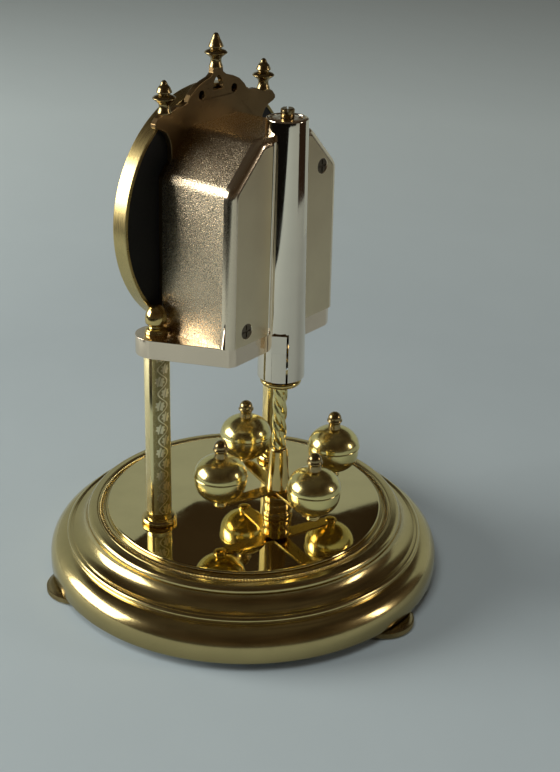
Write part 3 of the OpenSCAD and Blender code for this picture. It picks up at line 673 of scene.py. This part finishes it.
# the screw heads in the sunk holes take the same dark painted-shade colour
dress("cover_screws", M["recess"], 0.12)

# ---------------------------------------------------------------- guard tube
lo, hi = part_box("guard_tube")
z0, z1 = lo[2] / MM, hi[2] / MM


def tube_r(z):
    return 8.7 + (7.4 - 8.7) * (z - z0) / (z1 - z0)


prof = [(6.3, z0), (8.45, z0)] + arc(8.35, z0 + 0.35, 0.33, 0.35, -80, 0, 4)
prof += [(tube_r(z), z) for z in [z0 + 0.7] + [z0 + 3 + i * (z1 - z0 - 5) / 14 for i in range(15)]]
prof += arc(tube_r(z1) - 0.5, z1 - 0.5, 0.5, 0.5, 0, 90, 6) + [(tube_r(z1) - 0.75, z1), (6.55, z1 - 0.15), (6.35, z1 - 0.45), (6.3, z1 - 1.4)]
v, f = revolve(prof, 192)
ob = piece("guard_sleeve", v, f, M["chrome"], "guard_tube", AX, 45)
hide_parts("guard_tube")


def carve(ob, boxes):
    """Cuts boxes ((x, y, z) centre, (x, y, z) size, turn about Z) out of a piece made here."""
    for c, sz, rot in boxes:
        hx, hy, hz = [q / 2 for q in sz]
        vs = [Vector((a * hx, b * hy, e * hz)) + Vector(c) for a in (-1, 1) for b in (-1, 1) for e in (-1, 1)]
        vs = [Matrix.Rotation(rot, 3, "Z") @ q * MM for q in vs]
        cut = bpy.data.meshes.new("cut")
        cut.from_pydata([tuple(q) for q in vs], [], [(0, 1, 3, 2), (4, 6, 7, 5), (0, 4, 5, 1), (2, 3, 7, 6), (0, 2, 6, 4), (1, 5, 7, 3)])
        co = bpy.data.objects.new("cut", cut)
        co.location = ob.location
        bpy.context.scene.collection.objects.link(co)
        md = ob.modifiers.new("cut", "BOOLEAN")
        md.operation, md.object, md.solver = "DIFFERENCE", co, "EXACT"
        bpy.context.view_layer.update()
        me2 = bpy.data.meshes.new_from_object(ob.evaluated_get(bpy.context.evaluated_depsgraph_get()))
        ob.modifiers.clear()
        ob.data = me2
        bpy.data.objects.remove(co)
    for q in ob.data.polygons:
        q.use_smooth = True
    ob.data.set_sharp_from_angle(angle=radians(45))


carve(ob, [((8.0, 0.3, 94.7), (7.0, 6.0, 21.2), radians(33)), ((0, -6.5, 162.5), (11.0, 7.0, 22.0), 0.0)])
# the flat flange each side of the tube, against the cover's back
YT = (TY - CY) / MM
vs, fs = [], []
for s in (1, -1):
    b = len(vs)
    zs = [105.05 + (174.75 - 105.05) * i / 12 for i in range(13)]
    for z in zs:
        w = 9.5 - 1.0 * (z - 105) / 69.8
        sec = [(6.8, YB + 0.02), (6.8, YB + 0.45), (w - 0.3, YB + 0.45), (w - 0.12, YB + 0.4), (w - 0.02, YB + 0.25), (w, YB + 0.02)]
        vs += [(s * x * MM, (y - YT) * MM, z * MM) for x, y in sec]
    for i in range(12):
        for k in range(6):
            j = (k + 1) % 6
            fs.append([b + i * 6 + k, b + i * 6 + j, b + (i + 1) * 6 + j, b + (i + 1) * 6 + k])
    fs.append([b + k for k in range(6)])
    fs.append([b + 72 + k for k in range(6)])
piece("guard_flange", vs, fs, M["chrome"], "guard_tube", AX, 45)
dress("tube_key", M["chrome"], 0.3, 3)
capp = rounded([(1.55, 179.6), (6.3, 179.6), (6.3, 181.25), (6.0, 181.6), (1.9, 181.6), (1.55, 181.4)], 0.15, 2)
v, f = revolve(capp, 96)
pin = move(revolve([(0, 181.3), (0.75, 181.3), (0.85, 181.75), (0.6, 181.85), (0, 181.85)], 20), -3.4 * MM, 3.0 * MM)
v, f = join([(v, f), pin])
ob = piece("tube_disc", v, f, M["polish"], "tube_cap", AX, 45)
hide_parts("tube_cap")
dress("adjuster_stud", M["knob"], 0.12)
for n in ("top_saddle", "bottom_block", "impulse_fork", "impulse_lever"):
    dress(n, M["turned"], 0.12)
dress("suspension_spring", M["spring"])

# ---------------------------------------------------------------- pendulum
cap = rounded([(0, 81.4), (3.5, 81.4), (4.2, 81.7), (5.4, 82.4), (7.2, 83.35), (7.6, 83.9), (7.6, 84.7), (7.2, 85.2), (1.2, 85.3), (1.2, 91.6), (0, 91.6)], 0.3, 3)
v, f = revolve(cap, 96)
ob = piece("saucer", v, f, M["turned"], "top_cap", AX, 50)
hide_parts("top_cap")

rl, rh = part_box("twist_rod")
seg, steps, lobes, turns = 60, 110, 3, -400.0
vs, fs = [], []
for i in range(steps + 1):
    t = i / steps
    z = rl[2] + (rh[2] - rl[2]) * t
    fade = min(1.0, t / 0.05, (1 - t) / 0.05)
    for k in range(seg):
        a = 2 * pi * k / seg
        w = cos(lobes * (a - radians(turns * t)))
        r = 2.45 + fade * (0.52 * (1 - (1 - (w + 1) / 2) ** 1.6) - 0.18)
        vs.append((r * cos(a) * MM, r * sin(a) * MM, z))
for i in range(steps):
    for k in range(seg):
        j = (k + 1) % seg
        fs.append([i * seg + k, i * seg + j, (i + 1) * seg + j, (i + 1) * seg + k])
fs.append([k for k in range(seg)][::-1])
fs.append([steps * seg + k for k in range(seg)])
ob = piece("barley_rod", vs, fs, M["ball"], "twist_rod", AX, 60)
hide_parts("twist_rod")

cone = rounded([(0, 38.9), (4.55, 38.9), (4.55, 39.5), (4.42, 40.0), (3.35, 55.0), (3.1, 55.9), (2.6, 56.3), (0, 56.3)], 0.25, 3)
v, f = revolve(cone, 96)
ob = piece("rod_socket", v, f, M["turned"], "rod_cone", AX, 50)
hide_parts("rod_cone")
dress("spider", M["turned"], 0.15)
dress("guide_pin", M["turned"], 0.15)

zb = 50.4
OR = 25.0
top = ([(0, zb + 0.2), (9.95, zb + 0.2)] + arc(9.93, zb + 0.42, 0.17, 0.2, -80, 70, 6) + [(9.93, zb + 0.68), (9.88, zb + 0.8)]
       + arc(0, zb + 0.62, 9.9, 7.48, 6, 74, 24) + [(2.55, zb + 7.86), (2.5, zb + 7.8), (0, zb + 7.6)])
bot = ([(0, zb + 0.2), (9.72, zb + 0.2), (9.74, zb - 0.1), (9.74, zb - 1.6), (9.72, zb - 2.0)] + arc(0, zb - 2.05, 9.7, 8.25, -2, -90, 28))
knob = smooth_path([(2.48, 57.6), (2.45, 58.4), (2.3, 59.4), (2.3, 60.3), (2.42, 60.8), (2.75, 61.1), (2.95, 61.4), (2.9, 61.75), (2.65, 62.0), (2.55, 62.3)], 3)
knob = [(0, 57.6)] + knob + arc(0, 62.4, 2.55, 2.58, 4, 90, 14)
riv = rounded([(0, 37.32), (1.6, 37.4), (2.1, 37.6), (2.2, 37.9), (1.2, 37.9), (1.2, 38.9), (2.5, 38.9), (2.35, 39.5), (1.9, 40.05), (1.2, 40.05), (1.2, 44), (0, 44)], 0.15, 2)
lo_s, hi_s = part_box("spider")
SPIN = radians(-20)
for nm, prof, mat, node, sg in (("upper", top, "ball", "ball_tops", 112), ("lower", bot, "ball", "ball_bottoms", 112), ("finger", knob, "knob", "ball_knobs", 64), ("rivet", riv, "turned", "ball_rivets", 48)):
    for k in range(4):
        a = SPIN + k * pi / 2
        v, f = revolve(prof, sg)
        ob = piece("ball%d_%s" % (k + 1, nm), v, f, M[mat], node, (TX + OR * cos(a) * MM, TY + OR * sin(a) * MM, 0), 45)
        if k == 0:
            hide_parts(node)

# ---------------------------------------------------------------- dial
def turned_y(name, prof, mat, node, seg=192, sharp=45):
    """A ring about the dial's axis; profile points are (radius, y)."""
    v, f = revolve(prof, seg)
    v = [(p[0], p[2], p[1]) for p in v]
    ob = piece(name, v, f, mat, node, (CX, CY, DZ), sharp)
    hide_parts(node)
    return ob


RD = 44.9
bz = ([(43.75, -17.0), (44.3, -17.0)] + arc(44.65, -17.25, 0.25, 0.25, 100, 0, 4) + [(44.9, -17.6), (44.9, -22.5)] + arc(44.3, -22.6, 0.6, 0.7, 0, -75, 6)
      + [(43.6, -23.35), (43.0, -23.4), (42.6, -23.25), (42.2, -22.9), (41.6, -22.75), (41.0, -22.55), (40.75, -22.2), (40.7, -21.75), (43.7, -21.7)])
turned_y("bezel_drum", bz, M["bezel"], "bezel", 256)
dress("dial_back", M["black"], 0.1)


def strokes(lines, depth=0.08):
    """Raised print: each line is (x0, z0, x1, z1, width) in mm, a thin slab."""
    parts = []
    for x0, z0_, x1, z1_, w in lines:
        d = Vector((x1 - x0, z1_ - z0_))
        nrm = Vector((-d.y, d.x)).normalized() * w / 2
        q = [(x0 + nrm.x, z0_ + nrm.y), (x0 - nrm.x, z0_ - nrm.y), (x1 - nrm.x, z1_ - nrm.y), (x1 + nrm.x, z1_ + nrm.y)]
        vs = [(p[0] * MM, 0, p[1] * MM) for p in q] + [(p[0] * MM, -depth * MM, p[1] * MM) for p in q]
        parts.append((vs, [[0, 1, 2, 3], [4, 7, 6, 5], [0, 4, 5, 1], [1, 5, 6, 2], [2, 6, 7, 3], [3, 7, 4, 0]]))
    return parts


GL = {"I": (1.3, [(0, 0, 0, 1, 0.62), (-0.42, 0, 0.42, 0, 0.16), (-0.42, 1, 0.42, 1, 0.16)]),
      "V": (2.4, [(-0.85, 1, 0, 0, 0.62), (0.85, 1, 0, 0, 0.22), (-1.25, 1, -0.45, 1, 0.16), (0.5, 1, 1.2, 1, 0.16)]),
      "X": (2.5, [(-0.85, 1, 0.85, 0, 0.62), (0.85, 1, -0.85, 0, 0.22), (-1.25, 1, -0.45, 1, 0.16), (0.5, 1, 1.2, 1, 0.16), (-1.2, 0, -0.5, 0, 0.16), (0.45, 0, 1.25, 0, 0.16)])}
NUM = ["XII", "I", "II", "III", "IIII", "V", "VI", "VII", "VIII", "IX", "X", "XI"]
marks = []
for h, word in enumerate(NUM):
    a = -2 * pi * h / 12
    wid = sum(GL[c][0] for c in word)
    x = -wid / 2
    for c in word:
        w, st = GL[c]
        cx = x + w / 2
        for x0, y0_, x1, y1_, sw in st:
            p = []
            for px, py in ((x0, y0_), (x1, y1_)):
                rr = 28.6 + py * 6.6
                lx = cx + px
                lx *= (0.86 + 0.14 * py)
                p += [lx * cos(a) - rr * sin(a), lx * sin(a) + rr * cos(a)]
            marks.append((p[0], p[1], p[2], p[3], sw))
        x += w
for i in range(60):
    a = 2 * pi * i / 60
    r0, r1, w = (37.2, 39.2, 0.75) if i % 5 == 0 else (37.4, 39.0, 0.28)
    marks.append((r0 * sin(a), r0 * cos(a), r1 * sin(a), r1 * cos(a), w))
for rr, w in ((37.3, 0.16), (39.1, 0.16), (26.6, 0.14)):
    for i in range(120):
        a, b = 2 * pi * i / 120, 2 * pi * (i + 1) / 120
        marks.append((rr * sin(a), rr * cos(a), rr * sin(b), rr * cos(b), w))
v, f = join(strokes(marks))
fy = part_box("dial_plate")[0][1]
ob = piece("dial_marks", v, f, M["print"], "dial_plate", (CX, fy, DZ), 20)
dress("dial_plate", M["enamel"], 0.1)
dress("hour_hand", M["hands"], 0.12)
dress("minute_hand", M["hands"], 0.12)
dress("hand_cap", M["turned"], 0.1)
dress("fixing_nut", M["turned"], 0.2)
dress("crest_plate", M["crest"], 0.22, 2)


def finial(h):
    t = h - 11.9
    pts = [(2.45, 0), (2.48, 0.3), (2.3, 0.85), (2.02, 1.6), (1.9, 2.5), (2.0, 3.1), (2.4, 3.65), (3.1, 4.2), (3.8, 4.75), (4.03, 5.02), (4.0, 5.25), (3.5, 5.75), (2.7, 6.1), (2.1, 6.35), (2.0, 6.6),
           (2.3, 6.85), (2.62, 7.05), (2.62, 7.4), (2.4, 8.0), (2.05, 8.8), (1.6, 9.7 + t * 0.6), (1.25, 10.5 + t), (0.95, 11.2 + t), (0.6, 11.7 + t)]
    return [(0, 0)] + [(min(r, 4.05), z) for r, z in smooth_path(pts, 3)] + [(0, 11.9 + t)]


for node, nm, h in (("side_finials", "side", 11.2), ("centre_finial", "centre", 11.9)):
    lo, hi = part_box(node)
    y = (lo[1] + hi[1]) / 2
    xs = ((lo[0] + 4.05 * MM), (hi[0] - 4.05 * MM)) if node == "side_finials" else ((lo[0] + hi[0]) / 2,)
    for i, x in enumerate(xs):
        v, f = revolve(finial(h), 72)
        ob = piece("finial_%s_%d" % (nm, i + 1), v, f, M["knob"], node, (x, y, lo[2]), 50)
        if i == 0:
            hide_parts(node)

# ---------------------------------------------------------------- inside
dress("movement_case", M["case"], 0.25)
dress("movement_lid", M["case"], 0.25)
dress("battery", M["cell"], 0.4)
dress("battery_contacts", M["steel"], 0.08)
dress("circuit_board", M["board"])
dress("coil", M["copper"], 0.1)
dress("stator", M["steel"], 0.08)
dress("rotor", M["magnet"])
for n in ("intermediate_wheel", "fourth_wheel", "third_wheel", "motion_wheel", "hour_wheel"):
    dress(n, M["nylon"])
dress("centre_wheel", M["turned"])

# ---------------------------------------------------------------- camera
F, PXC, PYC = 1338.459, 280.0, 386.0
pitch, roll, az = radians(24.93), radians(1.51), radians(38.22)
dist, tx, tz = 506.13, 12.81, 76.75
CAMJ = None
fwd = Vector((-cos(az) * cos(pitch), -sin(az) * cos(pitch), -sin(pitch)))
right = Vector((-sin(az), cos(az), 0.0))
up = right.cross(fwd)
rr = cos(roll) * right + sin(roll) * up
uu = -sin(roll) * right + cos(roll) * up
C = (Vector((0, 0, tz)) + right * tx - fwd * dist) * MM + Vector((CX, CY, 0))
cd = bpy.data.cameras.new("cam")
cd.sensor_fit = "AUTO"
cd.sensor_width = 36.0
cd.lens = F / 772 * 36.0
cd.clip_start = 0.01
cd.clip_end = 50
cam = bpy.data.objects.new("cam", cd)
bpy.context.scene.collection.objects.link(cam)
bpy.context.scene.camera = cam
m3 = Matrix((rr, uu, -fwd)).transposed()
cam.matrix_world = Matrix.Translation(C) @ m3.to_4x4()

# ---------------------------------------------------------------- floor, world, lights
nf = Net("floor_card")
g = nf.noise(9, 5, 0.6)
g2 = nf.noise(700, 3, 0.6)
cf = nf.mix(nf.span(g, 0, 1, 0.3, 0.7), (0.500, 0.580, 0.605), (0.520, 0.600, 0.625))
xyz = nf.add("ShaderNodeSeparateXYZ")
nf.link(nf.co, xyz.inputs[0])
# painted light: the floor's colour pales from 0.25 m to 0.75 m away from the origin, making up for the lamps' falloff
# far off
rad = nf.math("SQRT", nf.math("ADD", nf.math("MULTIPLY", xyz.outputs[0], xyz.outputs[0]), nf.math("MULTIPLY", xyz.outputs[1], xyz.outputs[1])))
cf = nf.mix(nf.span(rad, 0, 1, 0.25, 0.75), cf, (0.74, 0.85, 0.86))
nf.done(cf, nf.span(g2, 0.75, 0.9), nf.bump(nf.noise(14, 3, 0.5), 0.0012, 0.35), metallic=0.0, Specular_IOR_Level=0.15)
seg = 96
vs = [(0, 0, 0)] + [(3.0 * cos(2 * pi * i / seg), 3.0 * sin(2 * pi * i / seg), 0) for i in range(seg)]
fs = [[0, 1 + i, 1 + (i + 1) % seg] for i in range(seg)]
me = bpy.data.meshes.new("floor")
me.from_pydata(vs, [], fs)
me.materials.append(nf.m)
fl = bpy.data.objects.new("floor", me)
bpy.context.scene.collection.objects.link(fl)
fl.location = (0, 0, -0.00002)

world = bpy.data.worlds.new("room")
bpy.context.scene.world = world
world.use_nodes = True
wt = world.node_tree
bg = wt.nodes["Background"]
tc = wt.nodes.new("ShaderNodeTexCoord")
sp = wt.nodes.new("ShaderNodeSeparateXYZ")
wt.links.new(tc.outputs["Generated"], sp.inputs[0])
rmp = wt.nodes.new("ShaderNodeValToRGB")
e = rmp.color_ramp.elements
e[0].position, e[0].color = 0.0, (0.06, 0.05, 0.04, 1)
e[1].position, e[1].color = 1.0, (0.060, 0.050, 0.036, 1)
for pos, c in ((0.10, (0.06, 0.05, 0.038, 1)), (0.24, (0.055, 0.040, 0.026, 1)), (0.45, (0.035, 0.024, 0.014, 1)), (0.75, (0.035, 0.025, 0.016, 1))):
    el = e.new(pos)
    el.color = c
wt.links.new(sp.outputs[2], rmp.inputs[0])
wn = wt.nodes.new("ShaderNodeTexNoise")
wn.inputs["Scale"].default_value = 4.0
wn.inputs["Detail"].default_value = 3.0
wt.links.new(tc.outputs["Generated"], wn.inputs["Vector"])
wr = wt.nodes.new("ShaderNodeMapRange")
wr.inputs["From Min"].default_value = 0.35
wr.inputs["From Max"].default_value = 0.7
wr.inputs["To Min"].default_value = 0.6
wr.inputs["To Max"].default_value = 1.5
wt.links.new(wn.outputs["Fac"], wr.inputs["Value"])
wt.links.new(rmp.outputs[0], bg.inputs["Color"])
wt.links.new(wr.outputs[0], bg.inputs["Strength"])


def soft(name, direction_deg, elev_deg, d, w, h, power, color=(1, 1, 1), aim=(0, 0, 0.08)):
    ld = bpy.data.lights.new(name, "AREA")
    ld.shape = "RECTANGLE"
    ld.size, ld.size_y = w, h
    ld.energy = power
    ld.color = color
    lo_ = bpy.data.objects.new(name, ld)
    bpy.context.scene.collection.objects.link(lo_)
    a, b = radians(direction_deg), radians(elev_deg)
    pos = Vector(aim) + Vector((cos(a) * cos(b), sin(a) * cos(b), sin(b))) * d
    lo_.location = pos
    lo_.rotation_euler = (Vector(aim) - pos).to_track_quat("-Z", "Y").to_euler()
    return lo_




def screen(name, verts, faces, color, strength):
    """A glowing card that only reflections see: the pale paper behind and the dark room past the table's edge."""
    n = Net(name)
    n.p.inputs["Base Color"].default_value = (0, 0, 0, 1)
    n.p.inputs["Roughness"].default_value = 1.0
    n.p.inputs["Specular IOR Level"].default_value = 0.0
    n.p.inputs["Emission Color"].default_value = (color[0], color[1], color[2], 1)
    n.p.inputs["Emission Strength"].default_value = strength
    me = bpy.data.meshes.new(name)
    me.from_pydata(verts, [], faces)
    me.materials.append(n.m)
    ob = bpy.data.objects.new(name, me)
    bpy.context.scene.collection.objects.link(ob)
    ob.visible_camera = False
    ob.visible_diffuse = False
    ob.visible_shadow = False
    ob.visible_transmission = False
    return ob


TOPS = ((143, 0.270), (200, 0.270), (206, 0.276), (212, 0.298), (216, 0.290), (220, 0.283), (225, 0.287), (229, 0.308), (233, 0.330), (240, 0.350), (250, 0.360), (293, 0.360))
vs = []
for i in range(61):
    t = 152 + 141 * i / 60
    for (a0, h0), (a1, h1) in zip(TOPS, TOPS[1:]):
        if a0 <= t <= a1:
            top = h0 + (h1 - h0) * (t - a0) / (a1 - a0)
    vs += [(0.45 * cos(radians(t)), 0.45 * sin(radians(t)), 0.0), (0.45 * cos(radians(t)), 0.45 * sin(radians(t)), top)]
screen("paper_sweep", vs, [(2 * i, 2 * i + 2, 2 * i + 3, 2 * i + 1) for i in range(60)], (0.30, 0.335, 0.315), 1.0)
screen("room_past_table", [(0.116, -1.2, 0.0006), (2.6, -2.6, 0.0006), (2.6, 2.6, 0.0006), (0.0, 2.6, 0.0006), (0.15, 1.15, 0.0006), (0.62, 0.95, 0.0006)], [(0, 1, 2, 3, 4, 5)], (0.004, 0.0035, 0.003), 1.0)
vs = []
for i in range(16):
    t = radians(105 + 60 * i / 15)
    vs += [(0.55 * cos(t), 0.55 * sin(t), 0.0008), (2.5 * cos(t), 2.5 * sin(t), 0.0008)]
screen("room_beside_table", vs, [(2 * i, 2 * i + 1, 2 * i + 3, 2 * i + 2) for i in range(15)], (0.022, 0.013, 0.008), 1.0)

soft("window", -50, 17, 1.6, 1.1, 0.75, 28, (1.0, 0.985, 0.93))
soft("fill", 20, 60, 1.8, 0.9, 0.6, 9.5, (0.96, 0.99, 1.0)).visible_glossy = False
soft("side", 120, 16, 1.9, 0.25, 0.6, 4, (1.0, 0.90, 0.80))
bpy.context.scene.view_settings.view_transform = "Standard"
